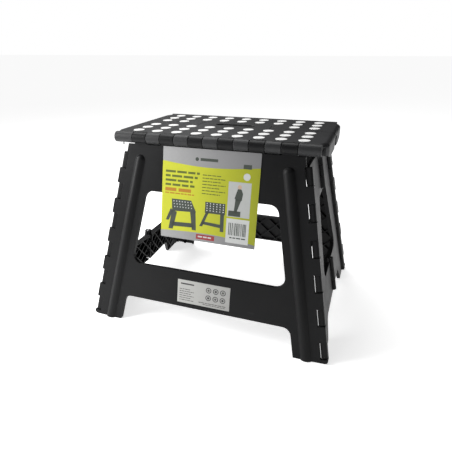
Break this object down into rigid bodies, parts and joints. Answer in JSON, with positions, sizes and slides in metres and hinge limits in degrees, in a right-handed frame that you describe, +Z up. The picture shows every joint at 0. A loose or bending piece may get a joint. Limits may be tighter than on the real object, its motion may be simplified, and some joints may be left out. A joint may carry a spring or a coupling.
{
  "type": "folding step stool",
  "caption": "Folding plastic step stool with a dotted two-part seat, hand grip, two leg frames and hinged side panels that fold flat.",
  "frame": {"origin": "on the floor, at the middle of the footprint of the open stool", "axes": "+X to the right along the seat, -Y towards the front with the card label, +Z up"},
  "size_m": [0.3504, 0.285, 0.27],
  "materials": {
    "frame_plastic": "satin moulded black plastic",
    "seat_plastic": "fine-grained dark grey plastic",
    "grip_dots": "matt white soft grip",
    "steel_rods": "drawn steel",
    "card": "printed coated card",
    "sticker": "printed paper"
  },
  "bodies": {
    "front_frame": {"front_leg_frame": "frame_plastic", "front_seat_rod": "steel_rods", "right_front_leg_rod": "steel_rods", "left_front_leg_rod": "steel_rods", "card_label": "card", "crossbar_sticker": "sticker"},
    "rear_frame": {"rear_leg_frame": "frame_plastic", "rear_seat_rod": "steel_rods", "right_rear_leg_rod": "steel_rods", "left_rear_leg_rod": "steel_rods"},
    "front_seat": {"front_seat_half": "seat_plastic", "front_grip_dots": "grip_dots", "seat_centre_pins": "steel_rods"},
    "rear_seat": {"rear_seat_half": "seat_plastic", "rear_grip_dots": "grip_dots"},
    "left_front_panel": {"left_front_panel": "frame_plastic", "left_side_rods": "steel_rods"},
    "left_rear_panel": {"left_rear_panel": "frame_plastic"},
    "right_front_panel": {"right_front_panel": "frame_plastic", "right_side_rods": "steel_rods"},
    "right_rear_panel": {"right_rear_panel": "frame_plastic"}
  },
  "joints": [
    {"name": "front_seat_fold", "type": "hinge", "parent": "front_frame", "child": "front_seat", "pos_m": [0, -0.0868, 0.2628], "axis": [1, 0, 0], "range_deg": [0, 79.45]},
    {"name": "left_front_panel_fold", "type": "hinge", "parent": "front_frame", "child": "left_front_panel", "pos_m": [-0.1209, -0.0765, 0.26076], "axis": [-0.1867, -0.1908, -0.9637], "range_deg": [0, 88.68]},
    {"name": "left_middle_fold", "type": "hinge", "parent": "left_front_panel", "child": "left_rear_panel", "pos_m": [-0.12051, 0, 0.2628], "axis": [0.1902, 0, 0.9818], "range_deg": [0, 173.25]},
    {"name": "left_rear_frame_fold", "type": "hinge", "parent": "left_rear_panel", "child": "rear_frame", "pos_m": [-0.1209, 0.0765, 0.26076], "axis": [-0.1867, 0.1908, -0.9637], "range_deg": [0, 88.68]},
    {"name": "rear_seat_fold", "type": "hinge", "parent": "rear_frame", "child": "rear_seat", "pos_m": [0, 0.0868, 0.2628], "axis": [-1, 0, 0], "range_deg": [0, 79.45]},
    {"name": "right_front_panel_fold", "type": "hinge", "parent": "front_frame", "child": "right_front_panel", "pos_m": [0.1209, -0.0765, 0.26076], "axis": [-0.1867, 0.1908, 0.9637], "range_deg": [0, 88.68]},
    {"name": "right_rear_panel_fold", "type": "hinge", "parent": "rear_frame", "child": "right_rear_panel", "pos_m": [0.1209, 0.0765, 0.26076], "axis": [0.1867, 0.1908, -0.9637], "range_deg": [0, 88.68]}
  ],
  "couplings": [
    {"joint": "left_front_panel_fold", "follows": "front_seat_fold", "ratio": 1.1162},
    {"joint": "left_middle_fold", "follows": "front_seat_fold", "ratio": 2.1805},
    {"joint": "left_rear_frame_fold", "follows": "front_seat_fold", "ratio": 1.1162},
    {"joint": "rear_seat_fold", "follows": "front_seat_fold", "ratio": 1},
    {"joint": "right_front_panel_fold", "follows": "front_seat_fold", "ratio": 1.1162},
    {"joint": "right_rear_panel_fold", "follows": "front_seat_fold", "ratio": 1.1162}
  ]
}
